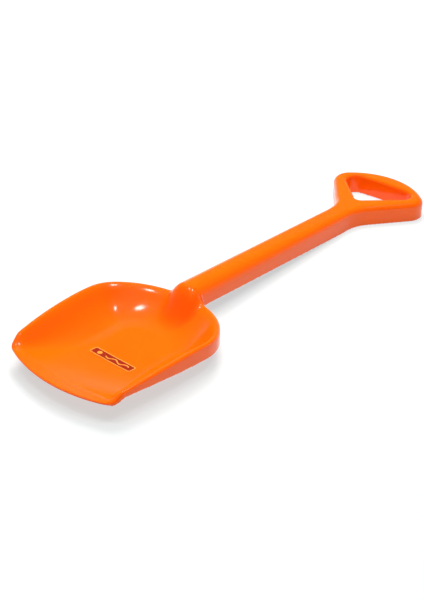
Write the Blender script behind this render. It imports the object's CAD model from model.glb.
import math

import bmesh
import bpy
import numpy as np
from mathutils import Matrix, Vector


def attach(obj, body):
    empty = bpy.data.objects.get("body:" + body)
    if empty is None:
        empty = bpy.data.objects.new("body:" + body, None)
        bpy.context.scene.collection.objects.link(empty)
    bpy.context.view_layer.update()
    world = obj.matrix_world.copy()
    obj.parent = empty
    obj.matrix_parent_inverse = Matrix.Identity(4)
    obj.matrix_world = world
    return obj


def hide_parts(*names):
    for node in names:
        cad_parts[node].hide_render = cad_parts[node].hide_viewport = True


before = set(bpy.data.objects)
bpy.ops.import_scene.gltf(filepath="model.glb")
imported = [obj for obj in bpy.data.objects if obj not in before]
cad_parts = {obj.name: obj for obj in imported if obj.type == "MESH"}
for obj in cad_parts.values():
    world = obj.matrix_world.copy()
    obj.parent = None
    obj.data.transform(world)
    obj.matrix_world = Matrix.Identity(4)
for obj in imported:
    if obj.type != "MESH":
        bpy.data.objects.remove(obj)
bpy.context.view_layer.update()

# Toy beach shovel, modelled as distance fields in millimetres. The lip of the blade is at x = 0, the grip ends
# at x = LENGTH and the ground is z = 0. build() moves each piece into the shared frame, in metres.
MILLIMETRE = 0.001
LENGTH = 500.0
WALL = 2.2

# Blade outline: side arc, shoulder arc and back arc, each tangent to the next, and the lip arc. The lip arc
# cuts only what lies in front of LIP_REACH, because it is a whole circle.
HALF_WIDTH = 71.0
SHOULDER_X = 112.5
SIDE_R = 588.0
SHOULDER_R = 41.0
BACK_X = 169.5
LIP_R = 150.0
LIP_CORNER_R = 5.0
LIP_EDGE_R = 0.9
LIP_REACH = 90.0

# Rim: height of the crest along the blade, roll radius, and lower edge of the outer skirt. Below that edge the
# rim is cut away to SKIRT_DEPTH from the outline.
CREST_Z = 31.0
CREST_X = 87.0
CREST_FRONT_R = 565.0
CREST_BACK_R = 325.0
CREST_START_X = 9.0
CREST_RISE = 16.0
ROLL_R = 4.5
SKIRT_TIP_X = 14.0
SKIRT_TIP_Z = 17.4
SKIRT_FRONT_X = 24.0
SKIRT_FRONT_Z = 21.6
SKIRT_SIDE_X = 60.0
SKIRT_SIDE_Z = 19.4
SKIRT_LOW_X = 138.0
SKIRT_LOW_Z = 13.8
SKIRT_BACK_X = 182.0
SKIRT_BACK_Z = 15.2
SKIRT_DEPTH = 5.0

# Bowl: height of the lip and of the floor, length of the rising front, and the walls. Their curved foot widens
# from front to back over FOOT_RUN. They may rise CREST_MARGIN above the crest before the blend trims them.
LIP_Z = 20.8
FLOOR_Z = 2.0
RAMP_X = 82.0
RAMP_POWER = 1.8
FOOT_FRONT = 9.0
FOOT_BACK = 42.0
FOOT_START_X = 5.0
FOOT_RUN = 90.0
WALL_POWER = 2.2
CREST_BLEND = 8.0
CREST_MARGIN = 0.6

# Hump that carries the shaft down the back wall on to the floor. It falls over HUMP_FALL to HUMP_SINK below the
# ground and widens by HUMP_SPREAD. It is round up to HUMP_KNEE of its half width, and straight beyond.
HUMP_BLEND = 13.0
HUMP_R = 14.6
HUMP_SLOPE = 0.058
HUMP_FALL = 40.0
HUMP_SINK = 11.0
HUMP_SPREAD = 3.0
HUMP_KNEE = 0.9

# Shaft: a channel open below, nearly half round at the blade and a rounded box at the yoke. Its taper goes on
# in front of SHAFT_X to SHAFT_FORWARD of its length, and its hollow goes CHANNEL_OPEN below its lower edge.
# The corner where it leaves the rim is filled, and the fill fades out towards the shaft's top line.
SHAFT_X = 166.0
SHAFT_HALF = 14.4
SHAFT_TOP = 35.4
SHAFT_LOW = 15.5
SHAFT_EDGE = 14.0
SHAFT_FORWARD = -0.2
CHANNEL_OPEN = 20.0
ROOT_FILL_R = 4.0
ROOT_FILL_FADE = 8.0
LEAST_FILL = 0.01
YOKE_X = 390.0
YOKE_HALF = 12.3
YOKE_TOP = 21.0

# Grip ring: outer outline, top plane and the drafted opening.
RING_EDGE = 7.0
HOLE_EDGE = 3.5
RING_END_Z = 20.2
RING_START_X = 300.0
RING_FILLET_R = 41.5
RING_FILLET_X = 394.7
RING_CORNER = (467.5, 35.5)
RING_CORNER_R = 18.0
GRIP_X = 450.0
HOLE_APEX = (436.5, 0.0)
HOLE_APEX_R = 5.0
HOLE_CORNER = (468.0, 27.0)
HOLE_CORNER_R = 9.5
HOLE_END_X = 478.8
HOLE_DRAFT = 7.0

# Where one field takes over from the next, and where the blade piece meets the shaft piece.
BLADE_FIELD_END = 180.0
RING_FIELD_START = 392.0
SEAM_X = 172.0

# Meshing: grid pitch, room round each piece, steps used for slopes, and limits.
PITCH = 0.75
SEAM_ROOM = 4.0
GROUND_ROOM = 1.5
SKIN_STEP = 0.25
FIELD_STEP = 0.06
LEAST_STEEPNESS = 0.2
LARGEST_MOVE = 0.6
FAR_INSIDE = -50.0
TINY = 1e-9
CAP_FACING = 0.999


def end_radius(c, r, end_x):
    """Radius of an arc centred on the X axis that passes end_x and touches the arc of radius r about c."""
    gap = c[0] - end_x
    return (r ** 2 - gap ** 2 - c[1] ** 2) / (2 * (gap + r))


SHOULDER_Y = HALF_WIDTH - SHOULDER_R
BACK_R = end_radius((SHOULDER_X, SHOULDER_Y), SHOULDER_R, BACK_X)
BACK_CX = BACK_X - BACK_R
BACK_ANGLE = math.atan2(SHOULDER_Y, SHOULDER_X - BACK_CX)


# ---------------------------------------------------------------- plan outlines
def edge_distance(x, y):
    """Distance inwards from the blade's sides and back."""
    y = np.abs(y)
    back = BACK_R - np.hypot(x - BACK_CX, y)
    shoulder = SHOULDER_R - np.hypot(x - SHOULDER_X, y - SHOULDER_Y)
    side = SIDE_R - np.hypot(x - SHOULDER_X, y - HALF_WIDTH + SIDE_R)
    at_back = np.arctan2(y, x - BACK_CX) < BACK_ANGLE
    return np.where(at_back, np.minimum(back, side), np.where(x > SHOULDER_X, shoulder, side))


def arc(c, r, a0, a1, n):
    """n points along an arc of radius r about c, from angle a0 to angle a1."""
    a = np.linspace(a0, a1, n)
    return np.stack([c[0] + r * np.cos(a), c[1] + r * np.sin(a)], 1)


def closed_loop(half):
    """Closed loop from the half outline on the +Y side, which runs from front to back."""
    return np.concatenate([half, (half * [1, -1])[::-1]])


def ring_loop():
    """Outside of the ring: the fork's fillet, the corner and the bowed end, each tangent to the next."""
    dx = RING_CORNER[0] - RING_FILLET_X
    cy = YOKE_HALF + RING_FILLET_R
    dy = RING_CORNER[1] - cy
    lean = math.atan2(dy, dx) + math.asin((RING_FILLET_R + RING_CORNER_R) / math.hypot(dx, dy))
    r3 = end_radius(RING_CORNER, RING_CORNER_R, LENGTH)
    bow = math.atan2(RING_CORNER[1], RING_CORNER[0] - LENGTH + r3)
    fillet = arc((RING_FILLET_X, cy), RING_FILLET_R, -math.pi / 2, lean - math.pi / 2, 14)
    corner = arc(RING_CORNER, RING_CORNER_R, lean + math.pi / 2, bow, 24)
    end = arc((LENGTH - r3, 0), r3, bow, 0, 24)[1:]
    return closed_loop(np.concatenate([[[RING_START_X, YOKE_HALF]], fillet, corner, end]))


def hole_loop():
    """Finger opening at the ground: apex arc, corner arc and bowed end."""
    dx = HOLE_CORNER[0] - HOLE_APEX[0]
    dy = HOLE_CORNER[1]
    lean = math.atan2(dy, dx) + math.asin((HOLE_CORNER_R - HOLE_APEX_R) / math.hypot(dx, dy))
    r3 = end_radius(HOLE_CORNER, HOLE_CORNER_R, HOLE_END_X)
    bow = math.atan2(HOLE_CORNER[1], HOLE_CORNER[0] - HOLE_END_X + r3)
    apex = arc(HOLE_APEX, HOLE_APEX_R, math.pi, lean + math.pi / 2, 14)
    apex[0, 1] = 0  # exactly on the mirror plane, so that the loop has no sliver there
    corner = arc(HOLE_CORNER, HOLE_CORNER_R, lean + math.pi / 2, bow, 20)
    end = arc((HOLE_END_X - r3, 0), r3, bow, 0, 14)[1:]
    return closed_loop(np.concatenate([apex, corner, end]))


RING_LOOP, HOLE_LOOP = ring_loop(), hole_loop()


def loop_distance(x, y, loop):
    """Signed distance to a closed loop in plan, negative inside."""
    best = np.full(x.shape, np.inf)
    inside = np.zeros(x.shape, bool)
    for (ax, ay), (bx, by) in zip(loop, np.roll(loop, -1, 0)):
        ex, ey = bx - ax, by - ay
        n = ex * ex + ey * ey
        if n < 1e-12:
            continue
        t = np.clip(((x - ax) * ex + (y - ay) * ey) / n, 0, 1)
        best = np.minimum(best, (x - ax - t * ex) ** 2 + (y - ay - t * ey) ** 2)
        if ay != by:
            crosses = (y < ay) != (y < by)
            inside ^= crosses & (x < ax + (y - ay) / (by - ay) * ex)
    return np.where(inside, -1, 1) * np.sqrt(best)


# ---------------------------------------------------------------- skin of the bowl as a height field
def smooth_step(t):
    """Rise from 0 to 1 that starts and ends level."""
    t = np.clip(t, 0, 1)
    return t * t * (3 - 2 * t)


def smooth_min(a, b, k):
    """Lower of two values, blended where they are less than k apart."""
    h = np.maximum(k - np.abs(a - b), 0) / k
    return np.minimum(a, b) - h * h * k / 4


def crest_height(x):
    """Top line of the rim: a long arch whose front end drops to the lip."""
    arch = CREST_Z - (x - CREST_X) ** 2 / (2 * np.where(x < CREST_X, CREST_FRONT_R, CREST_BACK_R))
    return LIP_Z + (arch - LIP_Z) * smooth_step((x - CREST_START_X) / CREST_RISE)


def dish_height(x, y):
    """Bowl without the hump: a floor that rises to the lip, and walls that rise to the crest."""
    crest = crest_height(x)
    behind_lip = LIP_R - np.hypot(x - LIP_R, y)
    floor_z = FLOOR_Z + (LIP_Z - FLOOR_Z) * np.maximum(1 - behind_lip / RAMP_X, 0) ** RAMP_POWER
    foot = FOOT_FRONT + (FOOT_BACK - FOOT_FRONT) * smooth_step((x - FOOT_START_X) / FOOT_RUN)
    inward = np.minimum((edge_distance(x, y) - ROLL_R) / foot, 1)
    wall = floor_z + (crest - floor_z) * (1 - inward) ** WALL_POWER
    return smooth_min(crest + CREST_MARGIN, wall, CREST_BLEND)


def hump_height(x, y):
    """Half-round hump whose top line falls from the shaft to a depth below the floor."""
    line = SHAFT_TOP + HUMP_SLOPE * (SHAFT_X - x)
    drop = smooth_step((SHAFT_X - x) / HUMP_FALL)
    wide = HUMP_R + HUMP_SPREAD * drop
    knee = HUMP_KNEE * wide
    y = np.abs(y)
    fall = np.sqrt(wide ** 2 - np.minimum(y, knee) ** 2)
    slope = knee / np.sqrt(wide ** 2 - knee ** 2)
    return line - (line + HUMP_SINK) * drop - wide + fall - slope * np.maximum(y - knee, 0)


def skin_height(x, y):
    """Upper surface of the blade: the dish with the hump blended in."""
    return -smooth_min(-dish_height(x, y), -hump_height(x, y), HUMP_BLEND)


# ---------------------------------------------------------------- solids as distance fields
def round_and(a, b, r):
    """Intersection with its edge rounded to radius r."""
    u, v = np.maximum(a + r, 0), np.maximum(b + r, 0)
    return np.minimum(np.maximum(a, b), -r) + np.hypot(u, v)


def round_or(a, b, r):
    """Union with its inside corner filled to radius r."""
    u, v = np.maximum(r - a, 0), np.maximum(r - b, 0)
    return np.maximum(np.minimum(a, b), r) - np.hypot(u, v)


SKIRT_CURVE = np.polyfit([SKIRT_FRONT_X, SKIRT_SIDE_X, SKIRT_LOW_X, SKIRT_BACK_X],
                         [SKIRT_FRONT_Z, SKIRT_SIDE_Z, SKIRT_LOW_Z, SKIRT_BACK_Z], 3)


def skirt_height(x):
    """Lower edge of the outer skirt: a cubic through its four heights, and a straight tip in front."""
    low = np.polyval(SKIRT_CURVE, x)
    tip = SKIRT_TIP_Z + (SKIRT_FRONT_Z - SKIRT_TIP_Z) * (x - SKIRT_TIP_X) / (SKIRT_FRONT_X - SKIRT_TIP_X)
    return np.where(x < SKIRT_FRONT_X, tip, low)


def shaft_field(x, y, z, inset):
    """Shaft with straight sides and rounded upper edges; with an inset, the channel inside it."""
    t = np.clip((x - SHAFT_X) / (YOKE_X - SHAFT_X), SHAFT_FORWARD, 1)
    half = SHAFT_HALF + (YOKE_HALF - SHAFT_HALF) * t - inset
    top = SHAFT_TOP + (YOKE_TOP - SHAFT_TOP) * t - inset
    edge = SHAFT_EDGE + (RING_EDGE - SHAFT_EDGE) * t - inset
    low = SHAFT_LOW * (1 - t) - (CHANNEL_OPEN if inset else 0)
    u = np.abs(y) - (half - edge)
    v = z - (top - edge)
    body = np.hypot(np.maximum(u, 0), np.maximum(v, 0)) + np.minimum(np.maximum(u, v), 0) - edge
    return np.maximum(body, low - z)


def blade_field(x, y, z):
    """Blade shell: rolled rim, shaft root, lip and skirt, hollow below."""
    d = edge_distance(x, y)
    h = skin_height(x, y)
    hx = (skin_height(x + SKIN_STEP, y) - h) / SKIN_STEP
    hy = (skin_height(x, y + SKIN_STEP) - h) / SKIN_STEP
    above = (z - h) / np.sqrt(1 + hx ** 2 + hy ** 2)
    near_top = np.clip((SHAFT_TOP - z) / ROOT_FILL_FADE, LEAST_FILL, 1)
    fill = ROOT_FILL_R * np.clip(1 - d, LEAST_FILL, 1) * near_top
    outer = round_and(-d, above, ROLL_R)
    outer = round_or(outer, np.maximum(shaft_field(x, y, z, 0), SHAFT_X - x), fill)
    inner = round_and(WALL - d, above + WALL, ROLL_R - WALL)
    inner = np.minimum(inner, np.maximum(shaft_field(x, y, z, WALL), SHAFT_X - x))
    shell = np.maximum(outer, -inner)
    lip = np.hypot(x - LIP_R, y) - LIP_R
    ends = round_and(-d, lip, LIP_CORNER_R) + LIP_EDGE_R * np.clip(lip / LIP_CORNER_R, -1, 0)
    shell = round_and(shell, np.where(x < LIP_REACH, ends, FAR_INSIDE), LIP_EDGE_R)
    below_skirt = np.maximum(z - skirt_height(x), SKIRT_TIP_X - x)
    shell = np.maximum(shell, -np.maximum(below_skirt, d - SKIRT_DEPTH))
    return np.maximum(shell, -z)


def ring_plan(x, y):
    """Signed distances in plan to the outside of the ring and to its opening."""
    return loop_distance(x, y, RING_LOOP), loop_distance(x, y, HOLE_LOOP)


def ring_field(x, z, plan):
    """Grip ring: a channel open below, round a drafted opening."""
    out2, hole2 = plan
    top = YOKE_TOP + (RING_END_Z - YOKE_TOP) * (x - YOKE_X) / (LENGTH - YOKE_X)
    draft = math.radians(HOLE_DRAFT)
    hole = (hole2 - z * math.tan(draft)) * math.cos(draft)
    outer = np.maximum(round_and(out2, z - top, RING_EDGE), round_and(-hole, z - top, HOLE_EDGE))
    inner = np.maximum(round_and(out2 + WALL, z - top + WALL, RING_EDGE - WALL),
                       round_and(-hole + WALL, z - top + WALL, HOLE_EDGE - WALL))
    return np.maximum(np.maximum(outer, -inner), -z)


def body_field(x, y, z, plan=None):
    """The whole moulding. The ring's plan distances may be given when they are known already."""
    x, y, z = np.broadcast_arrays(x, y, z)
    f = np.empty(x.shape)
    at = x < BLADE_FIELD_END
    if at.any():
        f[at] = blade_field(x[at], y[at], z[at])
    at = (x >= BLADE_FIELD_END) & (x < RING_FIELD_START)
    if at.any():
        f[at] = np.maximum(shaft_field(x[at], y[at], z[at], 0), -shaft_field(x[at], y[at], z[at], WALL))
    at = x >= RING_FIELD_START
    if at.any():
        known = ring_plan(x[at], y[at]) if plan is None else (plan[0][at], plan[1][at])
        f[at] = ring_field(x[at], z[at], known)
    return f


# ---------------------------------------------------------------- surface mesh of a distance field
def surface_net(lo, hi):
    """Quad mesh of body_field = 0 inside a box: one point per cell that the surface crosses."""
    xs, ys, zs = (np.arange(a, b + PITCH * 0.5, PITCH) for a, b in zip(lo, hi))
    gx, gy = np.meshgrid(xs, ys, indexing="ij")
    plan = None
    if hi[0] > RING_FIELD_START:
        plan = tuple(np.broadcast_to(p[:, :, None], gx.shape + (len(zs),)) for p in ring_plan(gx, gy))
    f = body_field(gx[:, :, None], gy[:, :, None], zs[None, None, :], plan)
    inside = f < 0
    n = tuple(s - 1 for s in f.shape)
    total = np.zeros(n + (3,))
    count = np.zeros(n)
    corners = [(i, j, k) for i in (0, 1) for j in (0, 1) for k in (0, 1)]
    cut = [slice(None, -1), slice(1, None)]
    for a in corners:
        for axis in range(3):
            if a[axis]:
                continue
            b = tuple(1 if c == axis else v for c, v in enumerate(a))
            fa, fb = f[tuple(cut[v] for v in a)], f[tuple(cut[v] for v in b)]
            cross = (fa < 0) != (fb < 0)
            t = np.where(cross, fa / np.where(cross, fa - fb, 1), 0)
            for c in range(3):
                total[..., c] += np.where(cross, (t if c == axis else a[c]), 0)
            count += cross
    used = count > 0
    index = np.full(n, -1)
    index[used] = np.arange(used.sum())
    cell = np.argwhere(used)
    points = (total[used] / count[used][:, None] + cell) * PITCH + np.array(lo)
    quads = []
    for axis in range(3):
        u, v = (axis + 1) % 3, (axis + 2) % 3
        first = [slice(None)] * 3
        second = [slice(None)] * 3
        first[axis] = slice(None, -1)
        second[axis] = slice(1, None)
        flip = inside[tuple(first)] != inside[tuple(second)]
        core = [slice(None)] * 3
        core[u] = core[v] = slice(1, -1)
        where = np.argwhere(flip[tuple(core)])
        where[:, u] += 1
        where[:, v] += 1
        ring = []
        for du, dv in ((-1, -1), (0, -1), (0, 0), (-1, 0)):
            w = where.copy()
            w[:, u] += du
            w[:, v] += dv
            ring.append(index[w[:, 0], w[:, 1], w[:, 2]])
        quad = np.stack(ring, 1)
        solid_first = inside[where[:, 0], where[:, 1], where[:, 2]]
        quads.append(np.where(solid_first[:, None], quad, quad[:, ::-1]))
    return points, np.concatenate(quads)


def gradient(p):
    """Central differences of body_field at an array of points."""
    x, y, z = p.T
    rise = [body_field(x + dx, y + dy, z + dz) - body_field(x - dx, y - dy, z - dz)
            for dx, dy, dz in np.eye(3) * FIELD_STEP]
    return np.stack(rise, 1) / (2 * FIELD_STEP)


def settle(points):
    """Move the points on to the surface, with two Newton steps of limited length."""
    for _ in range(2):
        g = gradient(points)
        steepness = np.maximum((g ** 2).sum(1), LEAST_STEEPNESS)
        move = body_field(*points.T)[:, None] * g / steepness[:, None]
        size = np.linalg.norm(move, axis=1, keepdims=True)
        points = points - move * np.minimum(1, LARGEST_MOVE * PITCH / np.maximum(size, TINY))
    return points


def cut_at_seam(bm, x, side):
    """Cut away what lies beyond a seam plane, and close the cut with a flat cap."""
    whole = bm.verts[:] + bm.edges[:] + bm.faces[:]
    done = bmesh.ops.bisect_plane(bm, geom=whole, dist=1e-5, plane_co=(x, 0, 0), plane_no=(side, 0, 0),
                                  clear_outer=True)
    rim = [g for g in done["geom_cut"] if isinstance(g, bmesh.types.BMEdge) and g.is_boundary]
    bmesh.ops.holes_fill(bm, edges=rim, sides=0)


def build(name, front, back, half_width, height, front_seam, back_seam):
    """One piece of the moulding as a closed mesh between its seams, with normals from the field."""
    points, quads = surface_net((front, -half_width, -GROUND_ROOM), (back, half_width, height))
    points = settle(points)
    mesh = bpy.data.meshes.new(name)
    mesh.from_pydata(points.tolist(), [], quads.tolist())
    bm = bmesh.new()
    bm.from_mesh(mesh)
    if front_seam is not None:
        cut_at_seam(bm, front_seam, -1)
    if back_seam is not None:
        cut_at_seam(bm, back_seam, 1)
    bm.normal_update()
    bm.to_mesh(mesh)
    bm.free()
    co = np.empty(len(mesh.vertices) * 3)
    mesh.vertices.foreach_get("co", co)
    co = co.reshape(-1, 3)
    normal = gradient(co)
    normal /= np.maximum(np.linalg.norm(normal, axis=1, keepdims=True), TINY)
    corner = np.empty(len(mesh.loops), int)
    mesh.loops.foreach_get("vertex_index", corner)
    loop_normal = normal[corner]
    for poly in mesh.polygons:
        poly.use_smooth = True
        is_cap = abs(poly.normal.x) > CAP_FACING and len(poly.vertices) > 4
        if is_cap:
            loop_normal[poly.loop_start:poly.loop_start + poly.loop_total] = poly.normal
    co = (co - [LENGTH / 2, 0, 0]) * MILLIMETRE
    mesh.vertices.foreach_set("co", co.ravel())
    mesh.normals_split_custom_set(loop_normal.tolist())
    mesh.update()
    piece = bpy.data.objects.new(name, mesh)
    bpy.context.collection.objects.link(piece)
    return piece


# ---------------------------------------------------------------- materials
def srgb(r, g, b):
    """Linear colour of an sRGB colour in 0 to 255."""
    return tuple(((c / 255 + 0.055) / 1.055) ** 2.4 if c > 10 else c / (255 * 12.92) for c in (r, g, b)) + (1.0,)


def noise(tree, where, scale, detail):
    """Noise in the object's own coordinates."""
    texture = tree.nodes.new("ShaderNodeTexNoise")
    texture.inputs["Scale"].default_value = scale
    texture.inputs["Detail"].default_value = detail
    tree.links.new(where.outputs["Object"], texture.inputs["Vector"])
    return texture.outputs["Fac"]


def plastic(name, colour, deep, roughness):
    """Moulded plastic: slow drift of colour, uneven polish and a faint waviness from the mould."""
    mat = bpy.data.materials.new(name)
    mat.use_nodes = True
    tree = mat.node_tree
    links = tree.links
    bsdf = tree.nodes["Principled BSDF"]
    bsdf.inputs["IOR"].default_value = 1.42
    where = tree.nodes.new("ShaderNodeTexCoord")
    tint = tree.nodes.new("ShaderNodeMix")
    tint.data_type = "RGBA"
    factor, first, second = tint.inputs[0], tint.inputs[6], tint.inputs[7]
    first.default_value = colour
    second.default_value = deep
    links.new(noise(tree, where, scale=14, detail=3), factor)
    links.new(tint.outputs[2], bsdf.inputs["Base Color"])
    polish = tree.nodes.new("ShaderNodeMapRange")
    polish.inputs["To Min"].default_value = roughness - 0.05
    polish.inputs["To Max"].default_value = roughness + 0.07
    links.new(noise(tree, where, scale=160, detail=5), polish.inputs["Value"])
    links.new(polish.outputs["Result"], bsdf.inputs["Roughness"])
    bump = tree.nodes.new("ShaderNodeBump")
    bump.inputs["Strength"].default_value = 0.04
    bump.inputs["Distance"].default_value = 0.001
    links.new(noise(tree, where, scale=45, detail=2), bump.inputs["Height"])
    links.new(bump.outputs["Normal"], bsdf.inputs["Normal"])
    return mat


def glowing_orange():
    """The moulding's plastic, which lets some light in below its surface."""
    mat = plastic("orange_plastic", srgb(255, 100, 3), srgb(253, 93, 2), 0.12)
    bsdf = mat.node_tree.nodes["Principled BSDF"]
    bsdf.inputs["Subsurface Weight"].default_value = 0.12
    bsdf.inputs["Subsurface Radius"].default_value = (0.006, 0.002, 0.0005)
    bsdf.inputs["Subsurface Scale"].default_value = 0.5
    return mat


orange = glowing_orange()
red = plastic("label_red", srgb(146, 36, 14), srgb(134, 31, 12), 0.3)
yellow = plastic("label_yellow", srgb(236, 150, 60), srgb(230, 144, 54), 0.3)

# ---------------------------------------------------------------- pieces
# Name, CAD node, then front, back, half width and height of the grid round the piece, front seam, back seam.
MOULDING = (
    ("blade_shell", "blade", -3, SEAM_X + SEAM_ROOM, 73.5, 39, None, SEAM_X),
    ("shaft_channel", "shaft", SEAM_X - SEAM_ROOM, YOKE_X + SEAM_ROOM, 17.25, 38, SEAM_X, YOKE_X),
    ("yoke_arms", "yoke", YOKE_X - SEAM_ROOM, GRIP_X + SEAM_ROOM, 48, 27, YOKE_X, GRIP_X),
    ("cross_grip", "hand_grip", GRIP_X - SEAM_ROOM, LENGTH + 3, 57, 24, GRIP_X, None),
)
for name, node, *extent in MOULDING:
    piece = build(name, *extent)
    piece.data.materials.append(orange)
    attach(piece, "root")
    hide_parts(node)

for node, mat in (("shaft_ribs", orange), ("label_field", red), ("label_border", yellow),
                  ("label_wave", yellow), ("label_sun", yellow)):
    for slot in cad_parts[node].material_slots:
        slot.material = mat


# ---------------------------------------------------------------- floor, light and camera, in metres
def floor_piece(half):
    """Pale floor. Its own light brings it to white; its two tints counter the orange glow in the shadow."""
    mesh = bpy.data.meshes.new("floor")
    corners = [(-half, -half, 0), (half, -half, 0), (half, half, 0), (-half, half, 0)]
    mesh.from_pydata(corners, [], [(0, 1, 2, 3)])
    mat = bpy.data.materials.new("floor")
    mat.use_nodes = True
    shader = mat.node_tree.nodes["Principled BSDF"]
    shader.inputs["Base Color"].default_value = (0.32, 0.285, 0.28, 1)
    shader.inputs["Roughness"].default_value = 0.9
    shader.inputs["Emission Color"].default_value = (0.48, 0.58, 0.585, 1)
    shader.inputs["Emission Strength"].default_value = 1
    mesh.materials.append(mat)
    obj = bpy.data.objects.new("floor", mesh)
    bpy.context.collection.objects.link(obj)
    return obj


def studio_sky(levels):
    """Grey surroundings, bright at the horizon; each level is (height of the direction, brightness)."""
    world = bpy.data.worlds.new("studio")
    world.use_nodes = True
    tree = world.node_tree
    where = tree.nodes.new("ShaderNodeTexCoord")
    split = tree.nodes.new("ShaderNodeSeparateXYZ")
    ramp = tree.nodes.new("ShaderNodeValToRGB")
    tree.links.new(where.outputs["Generated"], split.inputs["Vector"])
    tree.links.new(split.outputs["Z"], ramp.inputs["Fac"])
    tree.links.new(ramp.outputs["Color"], tree.nodes["Background"].inputs["Color"])
    stops = ramp.color_ramp.elements
    for height, _ in levels[1:-1]:
        stops.new(height)
    for stop, (_, level) in zip(stops, levels):
        stop.color = (level, level, level, 1)
    bpy.context.scene.world = world


def area_light(name, place, size, power, in_gloss):
    """Square light aimed at the blade; it shows in the plastic's gloss only if in_gloss is true."""
    data = bpy.data.lights.new(name, "AREA")
    data.shape = "RECTANGLE"
    data.size = size
    data.size_y = size
    data.energy = power
    obj = bpy.data.objects.new(name, data)
    obj.location = place
    obj.visible_glossy = in_gloss
    aim = Vector((-0.1, 0, 0))
    obj.rotation_euler = (aim - Vector(place)).to_track_quat("-Z", "Y").to_euler()
    bpy.context.collection.objects.link(obj)


def camera(place, turn, tilt, lens):
    """Camera at place, turned and tilted by degrees, with its focal length for a 36 mm sensor."""
    data = bpy.data.cameras.new("camera")
    data.sensor_fit = "HORIZONTAL"
    data.sensor_width = 36
    data.lens = lens
    data.clip_start = 0.05
    az, el = math.radians(turn), math.radians(tilt)
    ahead = Vector((-math.sin(az) * math.cos(el), math.cos(az) * math.cos(el), -math.sin(el)))
    obj = bpy.data.objects.new("camera", data)
    obj.location = place
    obj.rotation_euler = ahead.to_track_quat("-Z", "Y").to_euler()
    bpy.context.collection.objects.link(obj)
    bpy.context.scene.camera = obj


floor = floor_piece(half=3.0)
studio_sky(((0, 0.7), (0.12, 0.5), (0.3, 0.12), (0.6, 0.06), (1, 0.1)))
bpy.context.scene.view_settings.view_transform = "Standard"
area_light("key_left", (-0.45, 0.02, 1.8), size=0.2, power=5, in_gloss=True)
area_light("key_right", (0.15, -0.66, 1.8), size=0.2, power=5, in_gloss=True)
area_light("fill_top", (-0.1, -0.2, 2.0), size=2.0, power=32, in_gloss=False)
area_light("fill_back", (0.73, 0.69, 1.6), size=0.9, power=44, in_gloss=False)
camera((-0.6793, -0.5537, 0.5243), turn=-48.58, tilt=31.93, lens=90.8066)
